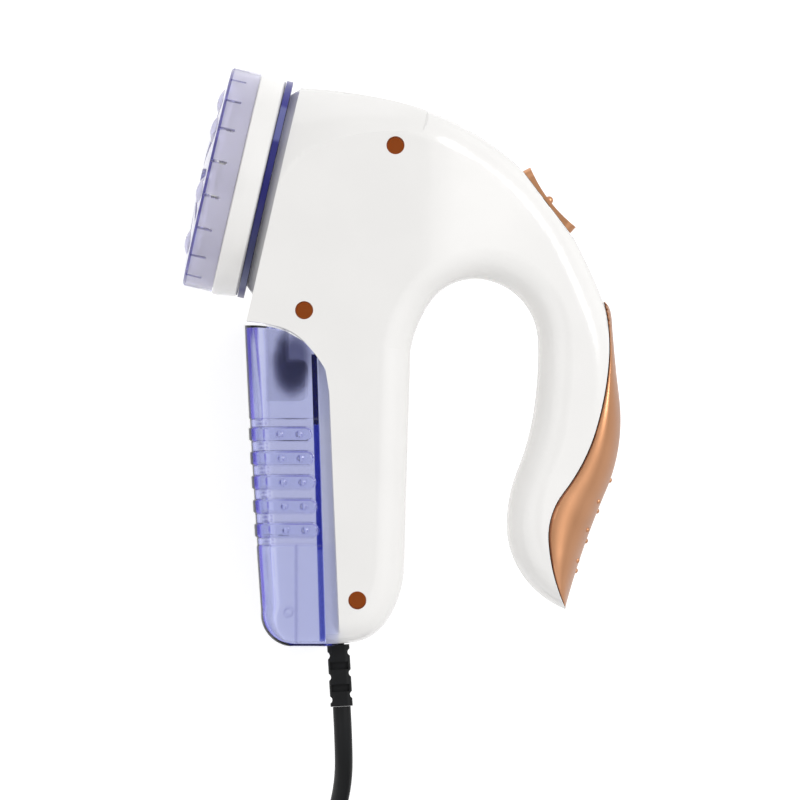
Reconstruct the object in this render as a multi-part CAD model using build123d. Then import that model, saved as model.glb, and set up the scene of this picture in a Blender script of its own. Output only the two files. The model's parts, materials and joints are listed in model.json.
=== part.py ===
from build123d import *
import math
import os

os.makedirs("parts", exist_ok=True)

# Fabric shaver. While it is modelled, X points from the head to the handle, Y up the leg
# and Z out of the side face, with the middle plane at Z = 0. Millimetres and degrees.

# ---------------------------------------------------------------- driving dimensions
gap = 0.3                    # running clearance between pieces that slide past each other
seat = 0.1                   # clearance between pieces that are fitted once

half_width = 30.8            # half of the body's width, side face to side face
grip_half_width = 16.5       # half of the handle's width
edge_round = 8.5             # rounding between the side faces and the outline
wall = 2.2                   # wall of the two housing halves
shoulder_start = 5.0         # X where the side faces start to draw in to the handle

head_tilt = 13.0             # how far the head's axis leans back from -X
neck_x, neck_y = -36.4, 46.0
neck_bevel = 2.3
bevel_radius = half_width - 1.3
neck_radius = bevel_radius - neck_bevel

guard_radius = 31.1
guard_wall = 1.3
ring_wall = 2.0
chamber_radius = guard_radius - guard_wall - ring_wall - 3.5
chamber_wall = 1.5
chamber_depth = 10.0         # behind the neck plane
chamber_front = 8.8          # in front of the neck plane
ring_radius = guard_radius + 0.4
ring_height = 7.0
adjuster_radius = ring_radius - 0.7
adjuster_thickness = 1.75
guard_height = 8.3
guard_bulge = 1.8
guard_rise = 2.0             # travel of the height guard
dome_count = 7
dome_ring_radius = guard_radius - 10.3
dome_start = 0.0             # degrees round the head from its top
window_inner, window_outer = 7.5, guard_radius - 3.3
window_width = 3.4
side_slot_count = 20
side_slot_width, side_slot_length = 0.9, 4.4
dome_radius = 3.5
dome_height = 1.0
foil_thickness = 0.4
foil_level = 13.6            # back face of the foil in front of the neck plane
foil_hole_radius = 1.25
rotor_radius = chamber_radius - 3.0
blade_count = 3
fan_blade_count = 8
shaft_radius = 1.0

motor_radius = 13.0
motor_length = 30.0
motor_level = -13.5          # front face of the motor, from the neck plane
mount_thickness = 2.0

box_half_width = half_width - 0.6
box_wall = 1.3
rear_wall = 1.5
grip_bar_count = 5
grip_bar_pitch = 6.65
grip_bar_height = 3.75
grip_bar_proud = 0.5
bar_dome_radius, bar_dome_height = 0.85, 0.3
bar_dome_reaches = 8.3, 2.8  # from the end of a bar back to its two domes

spout_left, spout_right = -37.2, -31.0
spout_half_width = 13.0
spout_wall = 0.8
spout_bottom = -2.0
hood_right, hood_bottom = -25.6, -12.5       # the spout's mouth, inside the box

screw_points = [(-1.25, 58.2), (-26.5, 12.6), (-11.8, -67.6)]
screw_hole = 2.5             # radius of the sunk screw holes
screw_radius = 1.1
boss_wall = 1.5
screw_head_level = 5.0       # floor of the sunk holes above the middle plane

nub_radius, nub_pitch, nub_rows = 0.75, 8.9, 4
nub_start = 11.2             # first nub, measured along the back from the handle's lower end
nub_side = 9.5               # side columns, from the middle plane

button_x, button_y = 40.7, 42.7
button_length = 21.7
button_half_width = 6.0
button_end_height = 2.25
button_saddle_height = 0.9
button_travel = 4.0

relief_x = -17.2
relief_top = -79.9
relief_length = 17.4
relief_lean = 3.3
relief_width = 6.2
relief_depth = 5.4           # from side face to side face
notch_radius = 1.1
near_notches, far_notches = (3.2, 9.2, 15.5), (2.5, 8.3, 14.3)   # from the top, towards the head and away
pocket_levels, pocket_height, pocket_depth = (6.1, 12.3), 2.1, 1.3

cord_diameter = 5.0
coil_outer_turn, coil_inner_turn = 38.0, 20.5
coil_x, coil_y = 8.0, -172.0
coil_layers = 2

# ---------------------------------------------------------------- outline
back_points = [(-27.6, 74.3), (-2.9, 70.9), (23.4, 59.9), (47.4, 34.1), (57.2, 12.5), (60.9, -12.0),
               (57.2, -37.4), (45.8, -70.2)]
inner_points = [(45.8, -70.2), (33.5, -60.0), (29.7, -47.0), (32.6, -32.0), (37.4, -14.0), (38.4, 4.0),
                (22.7, 21.4), (8.2, 14.8), (2.9, 1.5)]
leg_points = [(1.2, -58.0), (-3.6, -73.3), (-14.3, -79.4)]
leg_front_bottom = (-20.4, -79.9)
floor_points = [(-42.5, 9.6), (-34.9, 8.4), (-26.3, 3.6), (-22.68, -0.6)]
neck_foot = (-40.8, 16.8)
box_top_points = [(-42.4, 9.2), (-34.9, 8.1), (-26.3, 3.3), (-20.9, -3.9)]
box_lip_top = (-19.8, -10.5)
box_lip_bottom = (-16.9, -79.8)
box_front_points = [(-43.0, 6.3), (-41.0, -31.8), (-38.5, -70.5), (-30.6, -80.3)]
grip_points = [(56.4, 15.4), (57.8, -2.0), (54.3, -20.4), (45.3, -37.8), (41.1, -51.5), (45.8, -70.2)]


def arc_chain(points, tangent):
    """Arcs through the points, each leaving in the direction in which the last one ended."""
    arcs = []
    direction = Vector(*tangent, 0)
    for start, end in zip(points, points[1:]):
        arcs.append(TangentArc(start, end, tangent=direction).edge())
        direction = arcs[-1] % 1
    return arcs


def lines(*points):
    return [Line(a, b).edge() for a, b in zip(points, points[1:])]


def shifted(point, dx, dy=0.0):
    return (point[0] + dx, point[1] + dy)


def prism(edges, half, z=0.0):
    """A closed outline pulled to both sides of the plane at Z = z."""
    face = Face(Wire(edges))
    return Pos(0, 0, z - half) * extrude(face, 2 * half, dir=(0, 0, 1))


def slab(x0, x1, y0, y1, z0, z1):
    return Pos((x0 + x1) / 2, (y0 + y1) / 2, (z0 + z1) / 2) * Box(x1 - x0, y1 - y0, z1 - z0)


# ---------------------------------------------------------------- head frame
tilt = math.radians(head_tilt)
outward = Vector(-math.cos(tilt), math.sin(tilt), 0)
upward = Vector(math.sin(tilt), math.cos(tilt), 0)
head = Plane(origin=(neck_x, neck_y, 0), x_dir=upward, z_dir=outward)


def turned(*profile):
    """A body of revolution about the head's axis from (radius, level) points."""
    face = Plane.XZ * Polygon(*profile, align=None)
    return head.location * revolve(face, Axis.Z)


def ring(inner, outer, low, high):
    return turned((inner, low), (outer, low), (outer, high), (inner, high))


def disc(radius, low, high):
    return ring(0, radius, low, high)


def around_head(shape, count, start=0.0):
    """Copies of a shape drawn in the head frame, spread evenly about the head's axis."""
    step = 360 / count
    return [head.location * (Rot(0, 0, start + step * number) * shape) for number in range(count)]


def group(shapes):
    """Separate solids kept in one node."""
    return Compound([solid for shape in shapes for solid in shape.solids()])


def join(*shapes):
    whole = shapes[0]
    for shape in shapes[1:]:
        whole = whole + shape
    return whole


def cut(shape, tools):
    for tool in tools:
        shape = shape - tool
    return shape


# ---------------------------------------------------------------- housing halves
top_arcs = arc_chain(back_points, (1, -0.06))
inner_arcs = arc_chain(inner_points, (-0.93, 0.37))
leg_arcs = arc_chain(leg_points, (-0.03, -1))
floor_arcs = arc_chain(floor_points, (1, -0.06))


def outline(inset):
    edges = (top_arcs + inner_arcs + lines(inner_points[-1], leg_points[0]) + leg_arcs
             + lines(leg_points[-1], leg_front_bottom, floor_points[-1]) + floor_arcs
             + lines(floor_points[0], neck_foot, back_points[0]))
    wire = Wire(edges)
    if inset:
        wire = wire.offset_2d(-inset, kind=Kind.INTERSECTION)
    return wire


def envelope(inset):
    """Side faces seen from above: parallel over the leg, drawn in to the handle."""
    wide, narrow = half_width - inset, grip_half_width - inset
    side = Bezier((shoulder_start, wide), (shoulder_start + 17, wide), (27, narrow), (75, narrow)).edge()
    upper = [Line((-60, wide), (shoulder_start, wide)).edge(), side]
    lower = [edge.mirror(Plane.XZ) for edge in upper]
    ends = [Line((-60, wide), (-60, -wide)).edge(), Line((75, narrow), (75, -narrow)).edge()]
    face = Face(Wire(upper + lower + ends)).rotate(Axis.X, 90)
    return Pos(0, -120, 0) * extrude(face, 240, dir=(0, 1, 0))


def body_form(inset):
    """The rounded form of the body, or with an inset the cavity inside it."""
    face = Face(outline(inset))
    tall = half_width + 5
    form = Pos(0, 0, -tall) * extrude(face, 2 * tall, dir=(0, 0, 1)) & envelope(inset)
    rim = []
    for edge in form.edges():
        start, end, middle = edge @ 0, edge @ 1, edge @ 0.5
        flat = start.Z * end.Z > 0 and abs(start.Z) > grip_half_width / 2
        upright = abs(start.X - end.X) < 0.01 and abs(start.X - shoulder_start) < 0.1
        front = middle.X < leg_front_bottom[0] + inset + 0.5 and middle.Y < back_points[0][1] - inset - 1
        if flat and not upright and not front:
            rim.append(edge)
    return fillet(rim, edge_round - inset)



outer_form = body_form(0)
cavity_form = body_form(wall)


def shoulder_cut(inset):
    """What the round front of the body leaves off the upper corners of the square form."""
    wide = half_width - inset
    profile = lines((0, -60), (60, -60), (39.5 - inset, -38)) + [
        ThreePointArc((39.5 - inset, -38), (36.3 - inset, -18), (wide, -neck_bevel)).edge()
    ] + lines((wide, -neck_bevel), (wide, 10), (0, 10), (0, -60))
    core = head.location * revolve(Plane.XZ * Face(Wire(profile)), Axis.Z)
    return head.location * (Pos(30, 0, -18) * Box(60, 120, 48)) - core


bevel = turned((0, -6), (bevel_radius, -6), (bevel_radius, -neck_bevel), (neck_radius, 0), (0, 0))
outer_form = outer_form - shoulder_cut(0) + bevel
cavity_form = cavity_form - shoulder_cut(wall)
shell = outer_form - cavity_form
box_side_arcs = (arc_chain(box_top_points, (1, -0.1))
                 + lines(box_top_points[-1], box_lip_top, box_lip_bottom, box_front_points[3])
                 + arc_chain([box_front_points[3], box_front_points[2]], (-1, 0.05))
                 + [ThreePointArc(box_front_points[2], box_front_points[1], box_front_points[0]).edge()]
                 + lines(box_front_points[0], box_top_points[0]))
box_side_wire = Wire(box_side_arcs)
rebate_floor = box_half_width - box_wall - gap
rebate_face = Face(box_side_wire.offset_2d(gap, kind=Kind.INTERSECTION))
rebate = Pos(0, 0, rebate_floor) * extrude(rebate_face, 10, dir=(0, 0, 1))
shell = shell - rebate - rebate.mirror(Plane.XY)
nodes = {}

# Rails behind the rebates, slots for the board and bosses for the screws, shared by both halves.
rail_edges = lines(leg_front_bottom, floor_points[-1], shifted(floor_points[-1], 5.4),
                   shifted(leg_front_bottom, 5.4), leg_front_bottom)
rail_face = Face(Wire(rail_edges))
rail = Pos(0, 0, rebate_floor - wall) * extrude(rail_face, wall, dir=(0, 0, 1)) & outer_form
shell = shell + rail + rail.mirror(Plane.XY)

board_x, board_thickness = -9.0, 1.6
board_bottom, board_top = -52.0, -8.0
board_half_width = half_width - wall - gap
slot_rib = 1.4
for side in (-1, 1):
    face_x = board_x + side * (board_thickness / 2 + seat)
    rib = slab(min(face_x, face_x + side * slot_rib), max(face_x, face_x + side * slot_rib),
               board_bottom, board_top, half_width - wall - 3, half_width - wall + 0.5)
    shell = shell + rib + rib.mirror(Plane.XY)

boss_radius = screw_hole + boss_wall
for x, y in screw_points:
    shell = shell + (Pos(x, y, 0) * Cylinder(boss_radius, 2 * half_width) & outer_form)
    shell = shell - Pos(x, y, screw_head_level + 30) * Cylinder(screw_hole, 60)
    shell = shell - Pos(x, y, 0) * Cylinder(screw_radius + seat, 2 * screw_head_level + 8)

# Openings: neck bore, spout, switch seat and slot, cord relief.
shell = shell - disc(chamber_radius + gap, -14, 5)
shell = shell - slab(spout_left - gap, spout_right + gap, spout_bottom, 22,
                     -spout_half_width - gap, spout_half_width + gap)

normal = Vector(0.795, 0.606, 0).normalized()
along = Vector(-normal.Y, normal.X, 0)          # up the back, towards the head
button_plane = Plane(origin=(button_x, button_y, 0), x_dir=along, z_dir=normal)
seat_length = button_length + button_travel + 2.4
shell = shell - button_plane.location * (Pos(button_travel / 2, 0, 1.5 - gap)
                                         * Box(seat_length, 2 * grip_half_width + 4, 3))
stem_length, stem_width = 3.0, 2.4
slot_length = stem_length + button_travel + 2 * gap
shell = shell - button_plane.location * (Pos(button_travel / 2, 0, 0)
                                         * Box(slot_length, stem_width + 2 * gap, 12))

relief_neck = 3.4
flange_x, flange_z, flange_height = 4.0, 10.0, 2.0
flange_y = relief_top + wall + 0.15
shell = shell - slab(relief_x - relief_neck / 2 - seat, relief_x + relief_neck / 2 + seat, relief_top - 3,
                     flange_y + 1, -relief_neck / 2 - seat, relief_neck / 2 + seat)
shell = shell - slab(relief_x - flange_x / 2 - seat, relief_x + flange_x / 2 + seat, flange_y,
                     flange_y + flange_height + 1, -flange_z / 2 - seat, flange_z / 2 + seat)

# The insert on the back of the handle takes its piece of the same shell and carries the nubs.


def grip_nubs():
    """A column of nubs along the middle of the back and one on each side of it."""
    back = Wire(top_arcs)
    sunk = edge_round - math.sqrt(edge_round ** 2 - (nub_side + edge_round - grip_half_width) ** 2)
    nubs = []
    columns = [(nub_start, nub_rows, 0, 0), (nub_start + 3, nub_rows - 1, nub_side, sunk),
               (nub_start + 3, nub_rows - 1, -nub_side, sunk)]
    for start, count, side, depth in columns:
        for number in range(count):
            share = 1 - (start + nub_pitch * number) / back.length
            spot, heading = back @ share, back % share
            inward = Vector(heading.Y, -heading.X, 0) * (depth + nub_radius * 0.25)
            nubs.append(Pos(spot.X + inward.X, spot.Y + inward.Y, side) * Sphere(nub_radius))
    return nubs


grip_arcs = arc_chain(grip_points, (0.25, -1))
grip_edges = grip_arcs + lines(grip_points[-1], (60, -75), (75, -75), (75, grip_points[0][1]),
                               grip_points[0])
grip_region = prism(grip_edges, half_width + 1)
grip = shell & grip_region
grip = join(grip, *grip_nubs())
shell = shell - grip_region
nodes["upper_housing"] = split(shell, bisect_by=Plane.XY, keep=Keep.TOP)
nodes["lower_housing"] = split(shell, bisect_by=Plane.XY, keep=Keep.BOTTOM)
nodes["handle_grip"] = grip

screws = []
for x, y in screw_points:
    shank = Pos(x, y, screw_head_level - 6) * Cylinder(screw_radius, 12)
    screw_head = Pos(x, y, screw_head_level + 0.8) * Cylinder(screw_hole - 0.25, 1.6)
    screws.append(shank + screw_head)
nodes["housing_screws"] = group(screws)

# ---------------------------------------------------------------- button and switch
half_length = button_length / 2
saddle = [Line((-half_length, 0), (-half_length + 0.4, button_end_height)).edge(),
          ThreePointArc((-half_length + 0.4, button_end_height), (0, button_saddle_height),
                        (half_length - 0.4, button_end_height)).edge(),
          Line((half_length - 0.4, button_end_height), (half_length, 0)).edge(),
          Line((half_length, 0), (-half_length, 0)).edge()]
cap = Pos(0, button_half_width, 0) * extrude(Plane.XZ * Face(Wire(saddle)), 2 * button_half_width,
                                             dir=(0, -1, 0))
corners = [edge for edge in cap.edges() if abs((edge @ 0).Y - (edge @ 1).Y) < 0.01
           and abs((edge @ 0).X - (edge @ 1).X) < 1 and abs((edge @ 0.5).X) > half_length - 1]
cap = fillet(corners, 2.8)
knob = Pos(0, 0, button_saddle_height) * Sphere(1.15)
stem_depth = 4.6
stem = Pos(0, 0, -stem_depth / 2 + 0.4) * Box(stem_length, stem_width, stem_depth + 0.8)
nodes["slide_button"] = button_plane.location * join(cap, knob, stem)
switch_top, switch_height, switch_length = -2.25, 6.5, 16.0
switch_block = Pos(button_travel / 2, 0, switch_top - switch_height / 2) * Box(
    switch_length, 7, switch_height)
switch_slot = Pos(button_travel / 2, 0, switch_top - 1.6) * Box(slot_length, stem_width + 2 * gap, 3.4)
tags = [Pos(button_travel / 2 + step * 4.7, 0, switch_top - switch_height - 1.4) * Box(0.6, 2.2, 3)
        for step in (-1, 0, 1)]
nodes["slide_switch"] = button_plane.location * join(switch_block - switch_slot, *tags)

# ---------------------------------------------------------------- head, from the neck outwards
ring_back = adjuster_thickness + 0.3
ring_front = ring_back + ring_height
guard_back = ring_front + 0.15
guard_front = guard_back + guard_height
tube_outer = guard_radius - guard_wall - gap
tube_inner = tube_outer - ring_wall
lug_height, lug_reach = 1.6, 1.9

collar_back, collar_front = -neck_bevel - wall - 1.9, -neck_bevel - wall - 0.05
chamber = join(ring(chamber_radius - chamber_wall, chamber_radius, -chamber_depth, chamber_front),
               ring(3.6, chamber_radius, -chamber_depth, -chamber_depth + chamber_wall),
               ring(chamber_radius - 0.5, chamber_radius + 2.6, collar_back, collar_front))
spout_outer = slab(spout_left, spout_right, spout_bottom, 27, -spout_half_width, spout_half_width)
spout_outer = cut(spout_outer, [disc(chamber_radius - 0.5, -20, 20),
                                ring(chamber_radius, 70, -neck_bevel - wall - 0.1, 20)])
spout_inner = slab(spout_left + spout_wall, spout_right - spout_wall, spout_bottom - 1, 28,
                   -spout_half_width + spout_wall, spout_half_width - spout_wall)
hood_top = spout_bottom + 1.0
hood = slab(spout_left, hood_right, hood_bottom, hood_top, -spout_half_width, spout_half_width)
hood_edges = [edge for edge in hood.edges() if abs((edge @ 0).Z - (edge @ 1).Z) > 1
              and (edge @ 0).X > spout_left + 1]
hood = fillet(hood_edges, 2.4)
hood_inner = slab(spout_left + spout_wall, hood_right - spout_wall, hood_bottom - 1, hood_top - spout_wall,
                  -spout_half_width + spout_wall, spout_half_width - spout_wall)
chamber = (chamber + spout_outer + hood) - spout_inner - hood_inner
lug_level = ring_back + 2.3
lug = Pos(chamber_radius + lug_reach / 2 - 0.4, 0, lug_level + lug_height / 2) * Box(
    lug_reach + 0.8, 7, lug_height)
nodes["lint_chamber"] = join(chamber, *around_head(lug, 3, 90))

adjuster = ring(chamber_radius + gap, adjuster_radius, 0.12, 0.12 + adjuster_thickness)
nodes["adjusting_ring"] = adjuster

shell_ring = turned((tube_inner, ring_back), (adjuster_radius - 0.6, ring_back),
                    (adjuster_radius, ring_back + 0.6), (ring_radius, ring_front - 1.6),
                    (ring_radius, ring_front - 0.3),
                    (ring_radius - 0.3, ring_front), (tube_outer, ring_front), (tube_outer, foil_level),
                    (tube_inner, foil_level))
flange = ring(chamber_radius + gap, tube_inner + 0.5, ring_back, ring_back + 2)
notch = Pos(chamber_radius + 1.3, 0, ring_back + 1) * Box(4, 8, 3)
nodes["foil_ring"] = shell_ring + cut(flange, around_head(notch, 3, 115))

foil_radius = tube_outer - 0.1
foil_holes = []
hole_row_step = (rotor_radius - 6.0) / 3
for hole_row, hole_count in enumerate((22, 18, 12, 6)):
    hole_place = Pos(rotor_radius - 0.5 - hole_row_step * hole_row, 0, foil_level)
    foil_holes += around_head(hole_place * Cylinder(foil_hole_radius, 4), hole_count)
nodes["foil"] = cut(disc(foil_radius, foil_level, foil_level + foil_thickness), foil_holes)
foil_front = foil_level + foil_thickness
nodes["foil_rim"] = ring(tube_inner, foil_radius, foil_front, foil_front + 1)

face_edges = arc_chain([(0, guard_front + guard_bulge), (guard_radius - 0.5, guard_front)], (1, 0))
face_edges += lines((guard_radius - 0.5, guard_front), (guard_radius, guard_front - 0.6),
                    (guard_radius, guard_back), (guard_radius - guard_wall, guard_back),
                    (guard_radius - guard_wall, guard_front - guard_wall))
face_edges += arc_chain([(0, guard_front + guard_bulge - guard_wall),
                         (guard_radius - guard_wall, guard_front - guard_wall)], (1, 0))
face_edges += lines((0, guard_front + guard_bulge - guard_wall), (0, guard_front + guard_bulge))
guard = head.location * revolve(Plane.XZ * Face(Wire(face_edges)), Axis.Z)
window = Pos((window_inner + window_outer) / 2, 0, guard_front) * extrude(
    SlotOverall(window_outer - window_inner, window_width), guard_height, both=True)
guard = cut(guard, around_head(window, 2 * dome_count, 90 / dome_count))
side_slot = Pos(guard_radius, 0, guard_front - 0.4 - side_slot_length / 2) * Box(
    3 * guard_wall, side_slot_width, side_slot_length)
guard = cut(guard, around_head(side_slot, side_slot_count, 8))
sphere_radius = (dome_radius ** 2 + dome_height ** 2) / (2 * dome_height)
dome_level = guard_front + guard_bulge * (1 - (dome_ring_radius / guard_radius) ** 2)
dome = Pos(dome_ring_radius, 0, dome_level + dome_height - sphere_radius) * Sphere(sphere_radius)
dome = dome & Pos(dome_ring_radius, 0, dome_level + 1) * Box(10, 10, 3.4)
nodes["height_guard"] = join(guard, *around_head(dome, dome_count, dome_start))

# ---------------------------------------------------------------- rotor: fan, spindle, blades on a spring
spindle_radius = 3.0
fan_back = -chamber_depth + chamber_wall + 0.7
fan_front = -neck_bevel - 0.1
fan_radius, hub_radius, vane_thickness = rotor_radius - 1.5, 6.0, 1.1
fan_hub = ring(spindle_radius, hub_radius, fan_back, fan_front)
fan_disc = ring(hub_radius - 0.5, fan_radius, fan_back, fan_back + 1)
fan_vane = Rot(0, 0, 22) * Box(fan_radius - hub_radius + 0.9, vane_thickness, fan_front - fan_back - 0.5)
fan_vane = Pos((fan_radius + hub_radius) / 2 - 0.25, 2.2, (fan_back + 0.5 + fan_front) / 2) * fan_vane
nodes["fan"] = join(fan_hub, fan_disc, *around_head(fan_vane, fan_blade_count))
spindle_top = 11.0
collar_level = -1.6
nodes["drive_spindle"] = join(ring(shaft_radius, spindle_radius, fan_back - 0.3, spindle_top),
                              ring(spindle_radius - 0.2, 5.2, collar_level, collar_level + 1.2))
nodes["motor_shaft"] = disc(shaft_radius, motor_level - motor_length + 1, spindle_top - 2)
carrier_bottom, carrier_top = 6.0, 12.2
arm_level = 9.6
blade_top = foil_level - 0.35
arm = Pos(rotor_radius / 2 + 2.5, 0, (arm_level + carrier_top) / 2) * Box(
    rotor_radius - 5, 4.6, carrier_top - arm_level)
nodes["blade_carrier"] = join(ring(spindle_radius + 0.05, 6.5, carrier_bottom, carrier_top),
                              *around_head(arm, blade_count))
blade_thickness = 0.7
blade = Pos(rotor_radius / 2 + 3.6, 2.3 + blade_thickness / 2, (arm_level + blade_top) / 2) * Box(
    rotor_radius - 6.4, blade_thickness, blade_top - arm_level)
nodes["blades"] = group(around_head(blade, blade_count))
spring_radius, wire_radius = 4.15, 0.35
spring_low, spring_high = collar_level + 1.2 + wire_radius, carrier_bottom - wire_radius
helix = Helix(pitch=(spring_high - spring_low) / 3, height=spring_high - spring_low, radius=spring_radius)
wire_section = Plane(origin=helix @ 0, z_dir=helix % 0) * Circle(wire_radius)
nodes["blade_spring"] = head.location * (Pos(0, 0, spring_low) * sweep(wire_section, path=helix))

# ---------------------------------------------------------------- motor
can_wall = 1.0
motor_back = motor_level - motor_length
can = disc(motor_radius, motor_back, motor_level)
can = can - disc(motor_radius - can_wall, motor_back - 1, motor_level - 1.5)
can = can - ring(0, shaft_radius + 2.0, motor_level - 2, motor_level + 1)
screw_spread = 8.0
can = cut(can, around_head(Pos(screw_spread, 0, motor_level) * Cylinder(1.25, 8), 2))
nodes["motor_can"] = can
nodes["front_bearing"] = ring(shaft_radius + 0.05, shaft_radius + 2.0, motor_level - 2.5, motor_level + 1.6)
nodes["armature"] = ring(shaft_radius, motor_radius - can_wall - 1.6, motor_back + 5, motor_level - 5)
nodes["motor_magnets"] = group([
    ring(motor_radius - can_wall - 1.2, motor_radius - can_wall, motor_back + 4, motor_level - 4)
    & head.location * (Rot(0, 0, turn) * Pos(20, 0, 0) * Box(40, 17, 200)) for turn in (0, 180)])
terminal = Pos(0, 6, motor_back - 3.4) * Box(2.4, 0.5, 3.2)
cap_plug = ring(shaft_radius + 0.05, motor_radius - can_wall, motor_back, motor_back + 2.5)
nodes["motor_end_cap"] = join(cap_plug,
                              disc(motor_radius - 2.0, motor_back - 2.2, motor_back),
                              *around_head(terminal, 2))
ear_reach = half_width - wall - gap
mount_plate = disc(18, motor_level, motor_level + mount_thickness) + head.location * (
    Pos(0, 0, motor_level + mount_thickness / 2) * Box(18, 2 * ear_reach, mount_thickness))
mount_plate = mount_plate - disc(shaft_radius + 2.0 + seat, motor_level - 1, motor_level + 5)
mount_plate = cut(mount_plate, around_head(Pos(screw_spread, 0, motor_level) * Cylinder(1.35, 8), 2))
nodes["motor_mount"] = mount_plate
motor_screw = (Pos(screw_spread, 0, motor_level - 0.6) * Cylinder(1.2, 5.2)
               + Pos(screw_spread, 0, motor_level + mount_thickness + 0.45) * Cylinder(2.2, 0.9))
nodes["motor_screws"] = group(around_head(motor_screw, 2))

# ---------------------------------------------------------------- circuit board and leads
nodes["circuit_board"] = slab(board_x - board_thickness / 2, board_x + board_thickness / 2, board_bottom,
                              board_top,
                              -board_half_width, board_half_width)
on_board = board_x + board_thickness / 2
capacitor = slab(on_board, on_board + 5.5, -40, -27, -12, 4)
bridge = slab(on_board, on_board + 3, -22, -15, -6, 2)
choke = Pos(on_board + 3, -36, 15) * Rot(90, 0, 0) * Cylinder(3, 12)
resistor = Pos(on_board + 1.5, -18, 12) * Rot(90, 0, 0) * Cylinder(1.5, 9)
nodes["board_components"] = group([capacitor, bridge, choke, resistor])


def lead(radius, bend, *points):
    path = FilletPolyline(*points, radius=bend)
    section = Plane(origin=path @ 0, z_dir=path % 0) * Circle(radius)
    return sweep(section, path=path)


lead_radius = 0.6
motor_end = head.location * Pos(0, 0, motor_back - 5.3)
end_x, end_y = motor_end.position.X, motor_end.position.Y
nodes["supply_leads"] = group([
    lead(lead_radius, 2.5, (relief_x, flange_y + flange_height, z), (relief_x - 0.1, -66, z), (-14.0, -59.5, z),
         (board_x, board_bottom - 4, z), (board_x, board_bottom, z)) for z in (-1.2, 1.2)])
nodes["motor_leads"] = group([
    lead(lead_radius, 3, (board_x, board_top, z), (-8.5, 6, z), (-1, 17.5, z), (10.5, 22.2, z),
         (end_x + 4.5, end_y - 5, z), (end_x, end_y, z)) for z in (-6, 6)])
switch_end = button_plane.location * Pos(button_travel / 2, 0, switch_top - switch_height - 3.1)
switch_x, switch_y = switch_end.position.X, switch_end.position.Y
nodes["switch_leads"] = group([
    lead(lead_radius, 3, (board_x, board_top, z), (-8.5, 6, z), (-1, 17.5, z), (11, 22.2, z),
         (26, 28.5, z), (switch_x, switch_y, z)) for z in (-9.5, 9.5)])

# ---------------------------------------------------------------- lint box
box_round = 5.9


def rounded_front(form, radius, back, top):
    """The form with its upright front, ahead of back and below top, rounded into its two sides."""
    rim = [edge for edge in form.edges() if abs((edge @ 0).Z) > 5 and (edge @ 0).Z * (edge @ 1).Z > 0
           and (edge @ 0.5).X < back and (edge @ 0.5).Y < top]
    return fillet(rim, radius)


front_back, front_top = box_front_points[3][0] - 1.4, box_front_points[0][1] - 0.3
box_form = rounded_front(prism(box_side_arcs, box_half_width), box_round, front_back, front_top)
rear_slope = (leg_front_bottom[0] - floor_points[-1][0]) / (leg_front_bottom[1] - floor_points[-1][1])


def rear_x(y, offset):
    return floor_points[-1][0] + rear_slope * (y - floor_points[-1][1]) + offset


box_low, box_high = box_front_points[3][1], 14.0    # the cavity runs on past the box's top
behind = prism(lines((rear_x(box_high, -gap), box_high), (rear_x(-90, -gap), -90), (10, -90),
                     (10, box_high), (rear_x(box_high, -gap), box_high)), box_half_width - box_wall)
inner_top, inner_middle, inner_bend = [shifted(point, box_wall) for point in box_front_points[:3]]
inner_foot = shifted(box_front_points[3], 0, box_wall)
inner_edges = (lines((rear_x(box_high, -gap - rear_wall), box_high),
                     (rear_x(box_low + box_wall, -gap - rear_wall), box_low + box_wall), inner_foot)
               + arc_chain([inner_foot, inner_bend], (-1, 0.05))
               + [ThreePointArc(inner_bend, inner_middle, inner_top).edge()]
               + lines(inner_top, (inner_top[0], box_high), (rear_x(box_high, -gap - rear_wall), box_high)))
inside = prism(inner_edges, box_half_width - box_wall)
inside = rounded_front(inside, box_round - box_wall, front_back + 1, box_high - 0.5)
lint_box = (box_form - behind) - inside
bar_top, bar_start, bar_end, bar_step = -21.7, -37.0, -26.0, 0.42
bar_dome_sphere = (bar_dome_radius ** 2 + bar_dome_height ** 2) / (2 * bar_dome_height)
dome_centre = box_half_width + grip_bar_proud + bar_dome_height - bar_dome_sphere
proud_edges = Wire(box_side_arcs).offset_2d(grip_bar_proud, kind=Kind.INTERSECTION).edges()
proud_form = prism(proud_edges, box_half_width + grip_bar_proud)
proud_form = rounded_front(proud_form, box_round + grip_bar_proud, front_back, front_top) - box_form
bars = []
for number in range(grip_bar_count):
    bar_y = bar_top - grip_bar_pitch * number
    bar_left, bar_right = bar_start + number * bar_step, bar_end + number * bar_step
    bar = Pos((bar_left + bar_right) / 2, bar_y, 0) * SlotOverall(bar_right - bar_left, grip_bar_height)
    for side in (-1, 1):
        pad = extrude(bar, grip_bar_proud + 0.3, dir=(0, 0, side))
        bars.append(Pos(0, 0, side * (box_half_width - 0.3)) * pad)
        for reach in bar_dome_reaches:
            bars.append(Pos(bar_right - reach, bar_y, side * dome_centre) * Sphere(bar_dome_sphere))
    bars.append(proud_form & slab(-60, bar_left + grip_bar_height / 2, bar_y - grip_bar_height / 2,
                                  bar_y + grip_bar_height / 2, -half_width, half_width))
nodes["lint_box"] = join(lint_box, *bars)

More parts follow.
